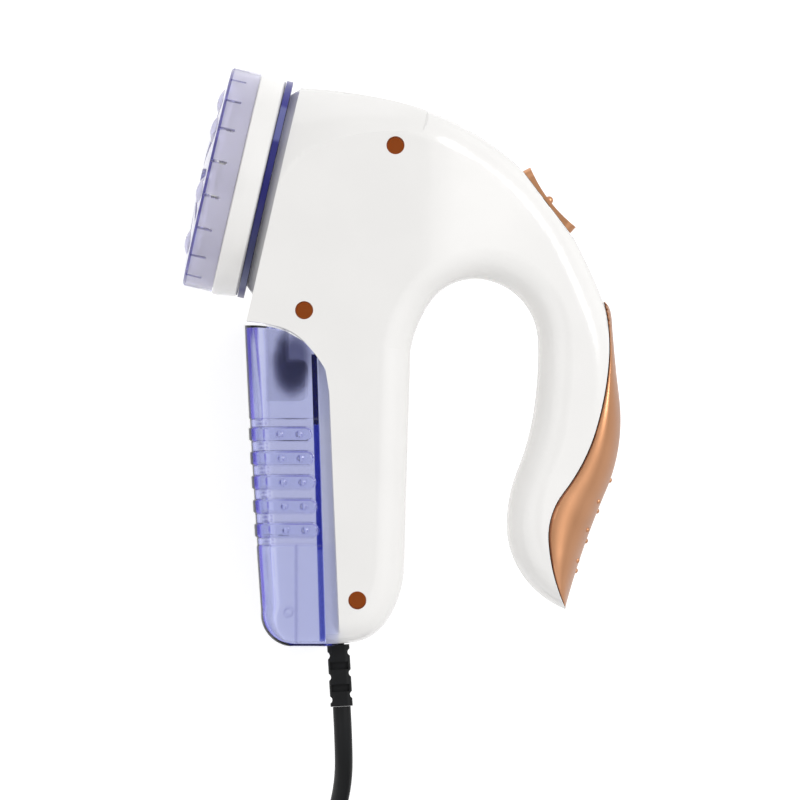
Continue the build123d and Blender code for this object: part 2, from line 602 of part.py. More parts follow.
# ---------------------------------------------------------------- strain relief, cord, coil and plug
lean = math.radians(relief_lean)
down = Vector(math.sin(lean), -math.cos(lean), 0)
relief_frame = Plane(origin=(relief_x, relief_top, 0), x_dir=(0, 0, 1), z_dir=down)
relief_start = 0.3
relief = [slab(relief_x - relief_neck / 2, relief_x + relief_neck / 2, relief_top - 1, flange_y + 0.5,
               -relief_neck / 2, relief_neck / 2),
          slab(relief_x - flange_x / 2, relief_x + flange_x / 2, flange_y, flange_y + flange_height,
               -flange_z / 2, flange_z / 2),
          relief_frame.location * (Pos(0, 0, relief_start) * extrude(
              RectangleRounded(relief_depth, relief_width, 1.6), relief_length - relief_start))]
notches = [Pos(0, side * (relief_width / 2 + 0.5), level) * Rot(0, 90, 0) * Cylinder(notch_radius, 10)
           for side, levels in ((1, near_notches), (-1, far_notches)) for level in levels]
pockets = [Pos(side * relief_depth / 2, 0, level) * Box(2 * pocket_depth, relief_width - 1.2, pocket_height)
           for side in (1, -1) for level in pocket_levels]
nodes["strain_relief"] = cut(join(*relief), [relief_frame.location * form for form in notches + pockets])

floor_level = -ring_radius
cord_radius = cord_diameter / 2
exit_point = relief_frame.origin + down * (relief_length + 0.1)
coil_west = coil_x - coil_outer_turn
knee_point = exit_point + down * 9
route = [(exit_point.X, exit_point.Y, 0), (knee_point.X, knee_point.Y, 0), (-15.6, -119, -7.5),
         (-18.8, -131, -18.5), (-24.0, -144.5, -26.8), (-28.6, -157, floor_level + cord_radius),
         (coil_west, coil_y, floor_level + cord_radius)]


def bend_radii(points):
    radii = []
    for before, corner, after in zip(points, points[1:], points[2:]):
        first, second = Vector(*corner) - Vector(*before), Vector(*after) - Vector(*corner)
        turn = math.radians(first.get_angle(second))
        radii.append(0.45 * min(first.length, second.length) / math.tan(turn / 2))
    return radii


radii = bend_radii(route)
print("cord bend radii", [round(radius, 1) for radius in radii])
cord_path = FilletPolyline(*route, radius=radii)
cord_section = Plane(origin=cord_path @ 0, z_dir=cord_path % 0) * Circle(cord_radius)
cord_tube = sweep(cord_section, path=cord_path)
coil_outer, coil_inner = coil_outer_turn + cord_radius, coil_inner_turn - cord_radius
coil_height = coil_layers * cord_diameter
coil = Pos(coil_x, coil_y, floor_level + coil_height / 2) * (
    Cylinder(coil_outer, coil_height) - Cylinder(coil_inner, coil_height + 1))
nodes["cord_coil"] = coil
nodes["cord"] = cord_tube - coil

plug_length, plug_width, plug_thickness = 36.0, 35.0, 13.7
tail_length, tail_width = 16.0, 6.6
plug_axis = floor_level + plug_thickness / 2
plug_y = coil_y - coil_outer_turn
tail_start = coil_x + math.sqrt(coil_outer ** 2 - coil_outer_turn ** 2) + 11
lead_level = floor_level + coil_height - cord_radius
plug_frame = Plane(origin=(tail_start, plug_y, plug_axis), x_dir=(0, 1, 0), z_dir=(1, 0, 0))
plug_lead = Pos((coil_x + tail_start) / 2, plug_y, lead_level) * Rot(0, 90, 0) * Cylinder(
    cord_radius, tail_start - coil_x)
nodes["plug_lead"] = plug_lead - coil
tail = plug_frame.location * loft([
    RectangleRounded(tail_width, tail_width, 3),
    Pos(0, 0, tail_length) * RectangleRounded(11, 10, 4)])
shoulder_form = plug_frame.location * loft([
    Pos(0, 0, tail_length) * RectangleRounded(13, 11, 4),
    Pos(0, 0, tail_length + 14) * RectangleRounded(25, plug_thickness, 5),
    Pos(0, 0, tail_length + plug_length) * RectangleRounded(plug_width, plug_thickness, 5)])
nodes["plug_body"] = tail + shoulder_form
pin_radius, pin_length, pin_spread = 2.0, 19.0, 18.6
pin_start = tail_start + tail_length + plug_length
pins = []
for side in (-1, 1):
    pin = Rot(0, 90, 0) * Cylinder(pin_radius, pin_length)
    tip = pin.faces().sort_by(Axis.X)[-1].edges()
    pin = fillet(tip, 0.9)
    pins.append(Pos(pin_start + pin_length / 2, plug_y + side * pin_spread / 2, plug_axis) * pin)
nodes["plug_pins"] = group(pins)

# ---------------------------------------------------------------- write, standing on the floor
cord_nodes = ["strain_relief", "cord", "cord_coil", "plug_lead", "plug_body", "plug_pins"]
boxes = [shape.bounding_box() for name, shape in nodes.items() if name not in cord_nodes]
low_corner = [min(getattr(box.min, axis) for box in boxes) for axis in "XYZ"]
high_corner = [max(getattr(box.max, axis) for box in boxes) for axis in "XYZ"]
shift = Vector(-(low_corner[0] + high_corner[0]) / 2, -(low_corner[1] + high_corner[1]) / 2, -low_corner[2])
for name, shape in nodes.items():
    export_step(Pos(*shift) * shape, "parts/" + name + ".step")
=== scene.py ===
import bpy
import json
import math
import numpy as np
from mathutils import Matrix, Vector


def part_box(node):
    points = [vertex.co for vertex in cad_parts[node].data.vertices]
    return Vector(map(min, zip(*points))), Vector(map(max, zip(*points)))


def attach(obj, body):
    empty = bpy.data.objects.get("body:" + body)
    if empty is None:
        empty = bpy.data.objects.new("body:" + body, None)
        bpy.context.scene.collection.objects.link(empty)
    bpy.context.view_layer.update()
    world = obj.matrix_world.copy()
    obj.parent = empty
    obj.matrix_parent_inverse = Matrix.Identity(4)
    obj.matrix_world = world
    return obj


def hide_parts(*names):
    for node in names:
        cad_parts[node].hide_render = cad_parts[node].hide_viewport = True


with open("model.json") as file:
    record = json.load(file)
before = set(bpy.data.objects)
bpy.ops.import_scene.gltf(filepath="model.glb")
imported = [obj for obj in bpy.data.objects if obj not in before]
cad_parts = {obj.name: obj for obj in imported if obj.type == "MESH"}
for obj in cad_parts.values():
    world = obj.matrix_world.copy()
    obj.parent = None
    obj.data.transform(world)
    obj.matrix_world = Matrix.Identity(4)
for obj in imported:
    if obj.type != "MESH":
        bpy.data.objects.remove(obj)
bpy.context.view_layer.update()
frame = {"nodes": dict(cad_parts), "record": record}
nodes, record = frame["nodes"], frame["record"]
scene = bpy.context.scene

# The head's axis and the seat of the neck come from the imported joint; the rest of the part is drawn
# from there in millimetres, X from the head to the handle, Y up the leg, Z out of the side face.
spin = next(joint for joint in record["behaviour"]["joints"] if joint["name"] == "rotor_spin")
neck = np.array(spin["pos_m"])
outward = np.array(spin["axis"]) / np.linalg.norm(spin["axis"])
upward = np.array([outward[1], -outward[0], 0.0])
neckDrawn = (-36.4, 46.0, 0.0)  # the seat of the neck in drawn millimetres
origin = neck - np.array(neckDrawn) / 1000


def toRow(points):  # drawn millimetres to metres in the row frame
    return np.asarray(points, float) / 1000 + origin


print("frame loaded:", len(nodes), "nodes")


# Shader maths: a socket that adds its own Math nodes when it is used in an expression.
class Signal:
    def __init__(self, paint, socket):
        self.paint, self.socket = paint, socket

    def maths(self, operation, *others, clamp=False):
        values = dict(enumerate((self, *others)))
        return self.paint.node("ShaderNodeMath", {"operation": operation, "use_clamp": clamp}, values)

    def __add__(self, other):
        return self.maths("ADD", other)

    def __sub__(self, other):
        return self.maths("SUBTRACT", other)

    def __mul__(self, other):
        return self.maths("MULTIPLY", other)

    def __truediv__(self, other):
        return self.maths("DIVIDE", other)

    def __pow__(self, other):
        return self.maths("POWER", other)

    def __gt__(self, other):
        return self.maths("GREATER_THAN", other)

    def __neg__(self):
        return self.maths("MULTIPLY", -1.0)

    def __rsub__(self, other):
        return -self + other

    def __rtruediv__(self, other):
        return self ** -1.0 * other

    __radd__, __rmul__ = __add__, __mul__  # the order makes no difference

    def clamped(self):
        return self.maths("ADD", 0.0, clamp=True)

    def smooth(self, low, high):  # 0 below low, 1 above high, eased between
        return self.paint.node("ShaderNodeMapRange", {"interpolation_type": "SMOOTHSTEP"},
                               {"Value": self, "From Min": low, "From Max": high})


# One material, or the world: makes nodes, links what is a signal and sets what is a number.
class Paint:
    def __init__(self, name, world=None):
        self.material = world or bpy.data.materials.new(name)
        self.material.use_nodes = True
        self.tree = self.material.node_tree
        self.tree.nodes.clear()
        self.out = self.tree.nodes.new("ShaderNodeOutputWorld" if world else "ShaderNodeOutputMaterial")

    def node(self, kind, settings=None, inputs=None, output=0):
        made = self.tree.nodes.new(kind)
        for key, value in (settings or {}).items():
            if key == "stops":
                ramp = made.color_ramp
                while len(ramp.elements) < len(value):
                    ramp.elements.new(0.5)
                for element, (place, colour) in zip(ramp.elements, value):
                    element.position, element.color = place, (*colour, 1.0)
            else:
                setattr(made, key, value)
        for key, value in (inputs or {}).items():
            socket = made.inputs[key]
            if isinstance(value, Signal):
                self.tree.links.new(value.socket, socket)
            elif socket.type == "RGBA" and len(value) == 3:
                socket.default_value = (*value, 1.0)
            else:
                socket.default_value = value
        return Signal(self, made.outputs[output])

    def place(self, scale=(1, 1, 1), location=(0, 0, 0)):
        raw = self.node("ShaderNodeTexCoord", output="Object")
        return self.node("ShaderNodeMapping", None, {"Vector": raw, "Scale": scale, "Location": location})

    def away(self, point):  # millimetres from a point, along the axes of the row frame
        return self.place((1000, 1000, 1000), tuple(-1000 * point))

    def along(self, spot, direction):
        inputs = {0: spot, 1: tuple(direction)}
        return self.node("ShaderNodeVectorMath", {"operation": "DOT_PRODUCT"}, inputs, "Value")

    def headPlace(self):  # distances along the head's axis and from it, in millimetres
        spot = self.away(neck)
        level = self.along(spot, outward)
        whole = self.node("ShaderNodeVectorMath", {"operation": "LENGTH"}, {0: spot}, "Value")
        return level, (whole ** 2.0 - level ** 2.0) ** 0.5

    def axes(self, vector):
        split = self.node("ShaderNodeSeparateXYZ", None, {"Vector": vector})
        return [Signal(self, split.socket.node.outputs[axis]) for axis in "XYZ"]

    def mark(self, name):  # an attribute painted on the mesh, 0 where it has none
        return self.node("ShaderNodeAttribute", {"attribute_name": name}, output="Fac")

    def noise(self, vector, scale, detail=3.0, roughness=0.5):
        inputs = {"Vector": vector, "Scale": scale, "Detail": detail, "Roughness": roughness}
        return self.node("ShaderNodeTexNoise", None, inputs, "Fac")

    def mixed(self, mask, first, second):
        return self.node("ShaderNodeMix", {"data_type": "RGBA"}, {0: mask, 6: first, 7: second}, output=2)

    def bump(self, height, strength, distance):
        inputs = {"Height": height, "Strength": strength, "Distance": distance}
        return self.node("ShaderNodeBump", None, inputs)

    def finish(self, **inputs):  # names with spaces are written with underscores
        plain = {key.replace("_", " "): value for key, value in inputs.items()}
        shader = self.node("ShaderNodeBsdfPrincipled", None, plain)
        self.tree.links.new(shader.socket, self.out.inputs["Surface"])
        return self.material

    def absorb(self, colour, density):
        fog = self.node("ShaderNodeVolumeAbsorption", None, {"Color": colour, "Density": density})
        self.tree.links.new(fog.socket, self.out.inputs["Volume"])


mouldedLook = {"driftScale": 60.0, "driftRange": (0.3, 0.7), "driftGloss": 0.08, "grainGloss": 0.06,
               "grainDepth": 0.0002}


# A moulded plastic or rubber: the colour drifts a little over the piece, the gloss varies with it and a
# fine grain goes to the bump.
def moulded(name, colour, spread=0.03, rough=0.28, coat=0.0, grain=900.0, bite=0.05, **more):
    look, paint = mouldedLook, Paint(name)
    where = paint.place()
    drift = paint.noise(where, look["driftScale"], detail=2.0)
    fine = paint.noise(where, grain, detail=4.0)
    darker = tuple(channel * (1 - spread) for channel in colour)
    lighter = tuple(min(1.0, channel * (1 + spread)) for channel in colour)
    tone = paint.mixed(drift.smooth(*look["driftRange"]), darker, lighter)
    gloss = rough + (drift - 0.5) * look["driftGloss"] + (fine - 0.5) * look["grainGloss"]
    return paint.finish(Base_Color=tone, Roughness=gloss, Coat_Weight=coat,
                        Normal=paint.bump(fine, bite, look["grainDepth"]), **more)


metalLook = {"lineScale": 120.0, "lineGloss": 0.25, "lineBump": 0.08, "lineDepth": 0.0001,
             "stainScale": 90.0, "stainRange": (0.35, 0.75), "stainShade": 0.82}


# Worked metal: noise drawn out along one way for the tool's marks, with stain in the hollows.
def metal(name, colour, rough=0.3, streak=(1.0, 1.0, 40.0)):
    look, paint = metalLook, Paint(name)
    lines = paint.noise(paint.place(scale=streak), look["lineScale"], detail=5.0, roughness=0.6)
    stain = paint.noise(paint.place(), look["stainScale"])
    stained = tuple(channel * look["stainShade"] for channel in colour)
    tone = paint.mixed(stain.smooth(*look["stainRange"]), colour, stained)
    return paint.finish(Base_Color=tone, Metallic=1.0, Roughness=rough + (lines - 0.5) * look["lineGloss"],
                        Normal=paint.bump(lines, look["lineBump"], look["lineDepth"]))


clearLook = {"flowScale": 35.0, "scratchScale": 500.0, "base": (0.96, 0.96, 1.0), "rough": 0.06,
             "scratch": 0.05, "edgeShadeTint": (0.055, 0.03, 0.42), "shadeHazeTint": (0.17, 0.17, 0.26),
             "shadeHazeFlow": 0.5, "ior": 1.49, "specular": 0.3, "ripple": 0.12, "rippleDepth": 0.0006,
             "rimLevel": (16.65, 16.85), "rimRadius": (30.2, 30.4), "rimShade": 0.85}


# Clear moulding: light is taken away along its way through the wall, so edges seen end on are dark. Two
# attributes of the mesh add painted shade: the first darkens it towards the deep tint of a thick edge seen
# end on, the second greys it under a painted shadow cloud. A third, lip, lets a share of the light straight
# through. A rimmed one has its painted edge shade along the front rim instead, by distance along the head's
# axis and from it.
def clearPlastic(name, tint, density, clearness=1.0, base=clearLook["base"], rimmed=False, lipShare=0.0):
    look, paint = clearLook, Paint(name)
    where = paint.place()
    flow = paint.noise(where, look["flowScale"])
    fine = paint.noise(where, look["scratchScale"])
    haze = paint.mark("haze")
    if rimmed:
        level, radius = paint.headPlace()
        stain = level.smooth(*look["rimLevel"]) * radius.smooth(*look["rimRadius"]) * look["rimShade"]
    else:
        stain = paint.mark("stain")
    tone = paint.mixed(stain.clamped(), base, look["edgeShadeTint"])
    shadeShare = (haze + (flow - 0.5) * haze * look["shadeHazeFlow"]).clamped()
    tone = paint.mixed(shadeShare, tone, look["shadeHazeTint"])
    alpha = 1.0 - paint.mark("lip") * lipShare if lipShare else 1.0
    paint.absorb(tint, density)
    return paint.finish(Base_Color=tone, Roughness=look["rough"] + (fine - 0.5) * look["scratch"],
                        IOR=look["ior"], Specular_IOR_Level=look["specular"], Transmission_Weight=clearness,
                        Alpha=alpha, Normal=paint.bump(flow, look["ripple"], look["rippleDepth"]))


copperLook = {"driftScale": 45.0, "driftRange": (0.3, 0.7), "darker": (0.66, 0.32, 0.16),
              "lighter": (0.76, 0.38, 0.20), "metallic": 0.86, "rough": 0.36, "coat": 0.3,
              "coatRough": 0.15, "flakeScale": 4200.0, "flakeGloss": 0.06, "flakeBump": 0.012,
              "flakeDepth": 0.0001}


# Metallic lacquer: a warm base, fine flakes that glint, and a clear coat over it.
def copper():
    look, paint = copperLook, Paint("copperPaint")
    where = paint.place()
    drift = paint.noise(where, look["driftScale"], detail=2.0)
    inputs = {"Vector": where, "Scale": look["flakeScale"]}
    flakes = paint.axes(paint.node("ShaderNodeTexVoronoi", None, inputs, "Color"))[0]
    tone = paint.mixed(drift.smooth(*look["driftRange"]), look["darker"], look["lighter"])
    return paint.finish(Base_Color=tone, Metallic=look["metallic"],
                        Roughness=look["rough"] + (flakes - 0.5) * look["flakeGloss"],
                        Coat_Weight=look["coat"], Coat_Roughness=look["coatRough"],
                        Normal=paint.bump(flakes, look["flakeBump"], look["flakeDepth"]))


boardLook = {"grid": (400, 400, 400), "tracksAlong": 0.86, "tracksAcross": 0.93,
             "lacquer": (0.02, 0.16, 0.07), "track": (0.10, 0.34, 0.16), "rough": 0.35, "trackGloss": 0.1,
             "trackBump": 0.3, "trackDepth": 0.0001}


# Circuit board: green lacquer with paler tracks where the sine of a place on the grid is high.
def board():
    look, paint = boardLook, Paint("circuitBoard")
    y, z = paint.axes(paint.place(scale=look["grid"]))[1:]
    track = ((z.maths("SINE") > look["tracksAlong"]) + (y.maths("SINE") > look["tracksAcross"])).clamped()
    tone = paint.mixed(track, look["lacquer"], look["track"])
    return paint.finish(Base_Color=tone, Roughness=look["rough"] + track * look["trackGloss"],
                        Normal=paint.bump(track, look["trackBump"], look["trackDepth"]))


navyLook = {"diameter": 63.0, "cloudScale": 120.0, "cloudShift": 0.02, "cloudGloss": 0.1, "rough": 0.3,
            "specular": 0.3, "bump": 0.03, "bumpDepth": 0.0002,
            # the lighter stops are painted reflections on the navy
            "stops": [(0.0, (0.02, 0.02, 0.13)), (0.05, (0.02, 0.02, 0.13)), (0.065, (0.09, 0.10, 0.20)),
                      (0.22, (0.045, 0.05, 0.13)), (0.36, (0.018, 0.018, 0.12)),
                      (0.71, (0.022, 0.022, 0.17)), (0.725, (0.11, 0.12, 0.32)),
                      (0.86, (0.13, 0.14, 0.34)), (0.875, (0.03, 0.03, 0.24)), (1.0, (0.03, 0.03, 0.24))]}


# The adjusting disc: navy, with painted reflections: lighter bands over parts of its rim stand for light
# mirrored there. The stops run up the disc from its lowest to its highest point.
def navy():
    look, paint = navyLook, Paint("navyDiscPaintedReflection")
    up = paint.along(paint.away(neck), upward)
    cloud = paint.noise(paint.place(), look["cloudScale"])
    height = up / look["diameter"] + 0.5 + (cloud - 0.5) * look["cloudShift"]
    tone = paint.node("ShaderNodeValToRGB", {"stops": look["stops"]}, {"Fac": height})
    return paint.finish(Base_Color=tone, Roughness=look["rough"] + (cloud - 0.5) * look["cloudGloss"],
                        Specular_IOR_Level=look["specular"],
                        Normal=paint.bump(cloud, look["bump"], look["bumpDepth"]))


hoodShadeLook = {"middle": (-29.8, -1.6), "halfSize": (6.0, 10.5), "billowScale": 160.0, "billowEdge": 0.9,
             # the dark tone is the painted shadow over the hood
             "dark": (0.2, 0.2, 0.34), "pale": (0.55, 0.56, 0.80), "toneRange": (0.25, 1.25),
             "alpha": 0.4, "alphaLoss": 0.33, "alphaRange": (0.3, 1.1), "rough": 0.35, "billowGloss": 0.15,
             "bump": 0.05, "bumpDepth": 0.0003}


# Smoked plastic with a painted shadow: darkest round one spot of the hood, where shade inside the box is
# painted, and clearing to a pale tint round it, by the square of the distance from the spot's middle as a
# share of its size.
def smokyWithShade():
    look, paint = hoodShadeLook, Paint("smokePlasticWithShade")
    x, y = paint.axes(paint.away(origin))[:2]
    billow = paint.noise(paint.place(), look["billowScale"], detail=4.0)
    (middleX, middleY), (halfX, halfY) = look["middle"], look["halfSize"]
    square = ((x - middleX) / halfX) ** 2.0 + ((y - middleY) / halfY) ** 2.0
    square = square + (billow - 0.5) * look["billowEdge"]
    tone = paint.mixed(square.smooth(*look["toneRange"]), look["dark"], look["pale"])
    return paint.finish(Base_Color=tone, Roughness=look["rough"] + billow * look["billowGloss"],
                        Alpha=look["alpha"] - square.smooth(*look["alphaRange"]) * look["alphaLoss"],
                        Normal=paint.bump(billow, look["bump"], look["bumpDepth"]))


finishes = {
    "white_abs": moulded("shellWhite", (0.865, 0.855, 0.84), spread=0.008, rough=0.2, coat=0.25,
                         grain=700.0, bite=0.02),
    "copper_paint": copper(),
    "navy_plastic": navy(),
    "clear_lavender": clearPlastic("clearLavender", (0.05, 0.10, 0.9), 60.0, clearness=0.6,
                                   base=(0.90, 0.88, 1.0), rimmed=True),
    "clear_violet": clearPlastic("clearViolet", (0.05, 0.17, 0.84), 180.0, lipShare=0.85),
    "pale_plastic": moulded("innerNatural", (0.78, 0.78, 0.76), rough=0.4),
    "steel_foil": metal("steelFoil", (0.78, 0.78, 0.77), rough=0.2),
    "steel_blade": metal("groundSteel", (0.68, 0.68, 0.68), rough=0.25, streak=(40.0, 1.0, 1.0)),
    "spring_steel": metal("springSteel", (0.62, 0.62, 0.63), rough=0.2),
    "motor_steel": metal("platedSteel", (0.5, 0.5, 0.49), rough=0.35, streak=(1.0, 30.0, 1.0)),
    "magnet": moulded("ferrite", (0.06, 0.06, 0.062), spread=0.1, rough=0.6),
    "bronze": metal("sinteredBronze", (0.55, 0.36, 0.16), rough=0.5),
    "black_plastic": moulded("blackMoulding", (0.012, 0.013, 0.014), spread=0.12, rough=0.42, grain=500.0,
                             bite=0.12),
    "board_green": board(),
    "component_brown": moulded("componentBrown", (0.24, 0.11, 0.045), spread=0.15, rough=0.4),
    "lead_red": moulded("redLead", (0.42, 0.03, 0.025), spread=0.1, rough=0.45),
    "lead_blue": moulded("blueLead", (0.03, 0.07, 0.36), spread=0.1, rough=0.45),
    "black_rubber": moulded("blackVinyl", (0.008, 0.0085, 0.0095), spread=0.15, rough=0.5, grain=400.0,
                            bite=0.1, Specular_IOR_Level=0.2),
    # Bronze screws with a painted warm glow: the emission stands for light filtered through the white
    # plastic into the deep screw holes.
    "screw_bronze": moulded("screwBronzePaintedGlow", (0.80, 0.34, 0.11), spread=0.12, rough=0.4,
                            Emission_Color=(0.30, 0.075, 0.015), Emission_Strength=0.6),
    "smoke_plastic": smokyWithShade(),
    "pin_nickel": metal("nickelPins", (0.72, 0.70, 0.66), rough=0.18),
}
slotOf = {part["node"]: part["material_slot"] for part in record["subparts"]}
print("finishes made:", len(finishes))


# Faces of one closed skin, turned round if the volume that they enclose comes out negative: the sum of
# corner . (corner x corner) over the triangles, about the skin's own middle.
def outwards(points, faces):
    centred = points - points.mean(axis=0)
    fans = [faces[:, [0, i, i + 1]] for i in range(1, faces.shape[1] - 1)]
    corners = centred[np.vstack(fans)]
    volume = np.einsum("ij,ij->", corners[:, 0], np.cross(corners[:, 1], corners[:, 2]))
    return faces if volume > 0 else faces[:, ::-1]


# A piece from points in metres and faces by their numbers. Corners of a face that have one number, as at a
# pole, count once. Edges that turn by more than the angle, in degrees, stay sharp.
def newMesh(name, points, faces, slotName, body, angle):
    points, faces = np.asarray(points, float), np.asarray(faces, int)
    lists = [tuple(dict.fromkeys(face)) for face in faces.tolist()]
    mesh = bpy.data.meshes.new(name)
    mesh.from_pydata(points.tolist(), [], [face for face in lists if len(face) > 2])
    mesh.validate()
    mesh.shade_smooth()
    mesh.set_sharp_from_angle(angle=math.radians(angle))
    piece = bpy.data.objects.new(name, mesh)
    scene.collection.objects.link(piece)
    mesh.materials.append(finishes[slotName])
    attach(piece, body)
    return piece


def weld(points, faces):  # points less than a thousandth of a millimetre apart become one
    keys = np.round(points * 1e6).astype(np.int64)
    _, index, back = np.unique(keys, axis=0, return_index=True, return_inverse=True)
    return points[index], back.reshape(-1)[faces]


# Quads of a grid of rows by columns, joined end to end where it closes.
def gridFaces(rows, columns, closeColumns=True):
    down, across = np.meshgrid(np.arange(rows - 1), np.arange(columns - (not closeColumns)), indexing="ij")
    nextDown, nextAcross = down + 1, (across + 1) % columns
    quads = np.stack([down * columns + across, down * columns + nextAcross, nextDown * columns + nextAcross,
                      nextDown * columns + across], -1)
    return quads.reshape(-1, 4)


skinForm = {"sharpAngle": 30.0, "normalWeight": 60}


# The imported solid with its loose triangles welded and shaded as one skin.
def smoothCopy(node, body):
    source = nodes[node].data
    points = np.empty(len(source.vertices) * 3)
    source.vertices.foreach_get("co", points)
    corners = np.empty(len(source.loops), int)
    source.loops.foreach_get("vertex_index", corners)
    points, faces = weld(points.reshape(-1, 3), corners.reshape(-1, 3))
    faces = outwards(points, faces)
    piece = newMesh(node + "Skin", points, faces, slotOf[node], body, skinForm["sharpAngle"])
    soften = piece.modifiers.new("evenNormals", "WEIGHTED_NORMAL")
    soften.keep_sharp, soften.weight = True, skinForm["normalWeight"]
    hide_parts(node)


bodyOf = {node: body for body, members in record["behaviour"]["bodies"].items() for node in members}
for node, thing in nodes.items():
    thing.data.materials.clear()
    thing.data.materials.append(finishes[slotOf[node]])

for node in ("upper_housing", "lower_housing", "slide_button", "foil_ring", "adjusting_ring",
             "height_guard", "foil", "foil_rim", "lint_chamber", "strain_relief", "plug_body",
             "plug_pins", "blade_carrier", "blades", "fan", "blade_spring", "drive_spindle"):
    smoothCopy(node, bodyOf[node])
print("skins made")


# Points of the circle through three points, from the first to the last by way of the middle one. The
# circle's centre is where the chords' middle normals cross.
def arcThrough(start, middle, end, count):
    (ax, ay), (bx, by), (cx, cy) = start, middle, end
    turn = 2 * (ax * (by - cy) + bx * (cy - ay) + cx * (ay - by))
    a, b, c = ax * ax + ay * ay, bx * bx + by * by, cx * cx + cy * cy
    centreX = a * (by - cy) + b * (cy - ay) + c * (ay - by)
    centreY = a * (cx - bx) + b * (ax - cx) + c * (bx - ax)
    centre = np.array([centreX, centreY]) / turn
    first, through, last = [math.atan2(y - centre[1], x - centre[0]) for x, y in (start, middle, end)]
    sweep = (last - first) % (2 * math.pi)
    if (through - first) % (2 * math.pi) > sweep:
        sweep = sweep - 2 * math.pi
    angle = first + np.linspace(0, sweep, count)
    radius = math.hypot(start[0] - centre[0], start[1] - centre[1])
    return centre + radius * np.stack([np.cos(angle), np.sin(angle)], -1)


def pathSteps(path):  # length of a polyline up to each of its points
    return np.concatenate([[0], np.cumsum(np.hypot(*np.diff(path, axis=0).T))])


def alongPath(path, share):  # points at shares of a polyline's length
    steps = pathSteps(path)
    return np.stack([np.interp(share * steps[-1], steps, path[:, axis]) for axis in (0, 1)], -1)


def shareAt(path, levels):  # shares of a falling polyline's length at which it has these heights
    steps = pathSteps(path)
    return np.interp(-np.array(levels), -path[:, 1], steps / steps[-1]).tolist()


def smoothStep(value, low, high):  # 0 below low, 1 above high, three squares less two cubes between
    share = np.clip((value - low) / (high - low), 0, 1)
    return share * share * (3 - 2 * share)


def band(value, middle, width):  # 1 about a line, eased over the same width again
    return 1 - smoothStep(np.abs(value - middle), width / 2, width)


def stroke(value, middle, width, strength):  # a painted line: a band at its strength
    return strength * band(value, middle, width)


def between(value, low, high, ease):  # 1 from low to high, eased to 0 past each
    return smoothStep(value, low - ease, low + ease) * (1 - smoothStep(value, high - ease, high + ease))


# Lint box: a skin wrapped from one lip, round the front, to the other lip. Stations are the shares of the
# rows at which the front and the lip have the levels listed with them, and the last is the end of both.
boxForm = {"halfWidth": 30.2, "wall": 1.3, "sharpAngle": 55.0,
           "rows": 290, "sideColumns": 58, "arcColumns": 9, "frontColumns": 12,
           "frontArc": ((-43.0, 8.4), (-41.0, -31.8), (-38.5, -70.5)), "frontPoints": 90,
           "cornerArc": ((-38.5, -70.5), (-36.2, -77.4), (-30.6, -80.3)), "cornerPoints": 30,
           "bottomEnd": (-18.4, -80.3),
           "lip": [(-20.9, -3.9), (-20.2, -7.0), (-19.8, -10.5), (-19.55, -15.0), (-17.65, -62.0),
                   (-17.4, -68.0), (-16.95, -79.6)],
           "stations": (0, 0.13, 0.79, 0.86, 0.95, 1), "frontLevels": (8.4, -15, -62, -70.5, -80.28),
           "lipLevels": (-3.9, -15, -62, -66, -73),
           "rounding": 5.9, "roundingStations": (0, 0.86, 0.95, 1), "roundingShares": (1, 1, 0.12, 0.1),
           "leastRounding": 0.25, "bowHeight": 4.2, "bowWay": (0.55, 0.83), "bowRows": 0.13,
           "legFront": -22.98, "legTop": -0.6, "legSlope": 0.02875}
# Grip pads on it, on a panel sunk a little. Each bar ends one step further back than the one above it.
padForm = {"top": -21.7, "pitch": 6.65, "halfHeight": 1.875, "count": 5, "rise": 0.5,
           "slope": (-0.05, 0.3), "end": -24.3, "step": 0.42, "domeRadius": 0.85, "domeRise": 0.4,
           "domePlaces": (-9.3, -3.9), "domeInset": 0.3, "panelLow": -52.6, "panelHigh": -17.4,
           "panelEase": 0.2, "panelDepth": 0.22}
# Strips in the box that stand against the leg: upper and lower level, depth from each side face, and
# painted shade, which darkens a strip towards the deep tint of light through its length. None for the lower
# level is the bottom wall, and None for the depth is right across.
stripForm = {"thickness": 1.5, "gap": 0.03,
             "strips": ((0.4, -19, None, 1.0), (-19.03, -53.7, 9, 0.25), (-53.73, None, 4.5, 0.2))}
# Painted shade and dark lines on its outer face. A line is its place, its width and its strength.
boxPaint = {"panelLow": -52.5, "panelHigh": -17.3, "edgeLevels": (-78, -66, -52, -17, 0, 8.4),
            "edgeWidths": (0.1, 0.5, 0.7, 0.9, 1.4, 2.0), "edgeEase": 0.2, "edgeInPanel": 0.5,
            "cornerFrom": (18, 24), "discSquash": 1.15, "discLift": 0.3, "discRadius": (1.8, 2.0),
            "stroke": (2.9, 0.8, 0.6), "strokeWaves": 5.6, "strokeGap": (1.5, 1.9),
            "barTop": (0.15, 0.3, 0.75), "barTopFade": (-38, -30), "barFoot": (0.1, 0.25, 0.3),
            "panelShade": 0.06, "domeRing": (0.9, 0.2, 0.4), "lineShade": 0.4, "panelLine": 0.25,
            "pillar": (-28.8, 0.5, 0.7), "fold": (-36.9, 0.3, 0.5), "pin": (-30.9, -71.1),
            "pinRing": (1.2, 0.3, 0.7), "leastReach": 1.5, "shadeCloud": (-29.4, -1.4), "shadeCloudLean": 0.12,
            "shadeCloudSize": (6.4, 11.0), "shadeCloudRange": (0.35, 1.15), "shadeCloudHaze": 0.95, "lipEase": (-0.1, 0.3)}


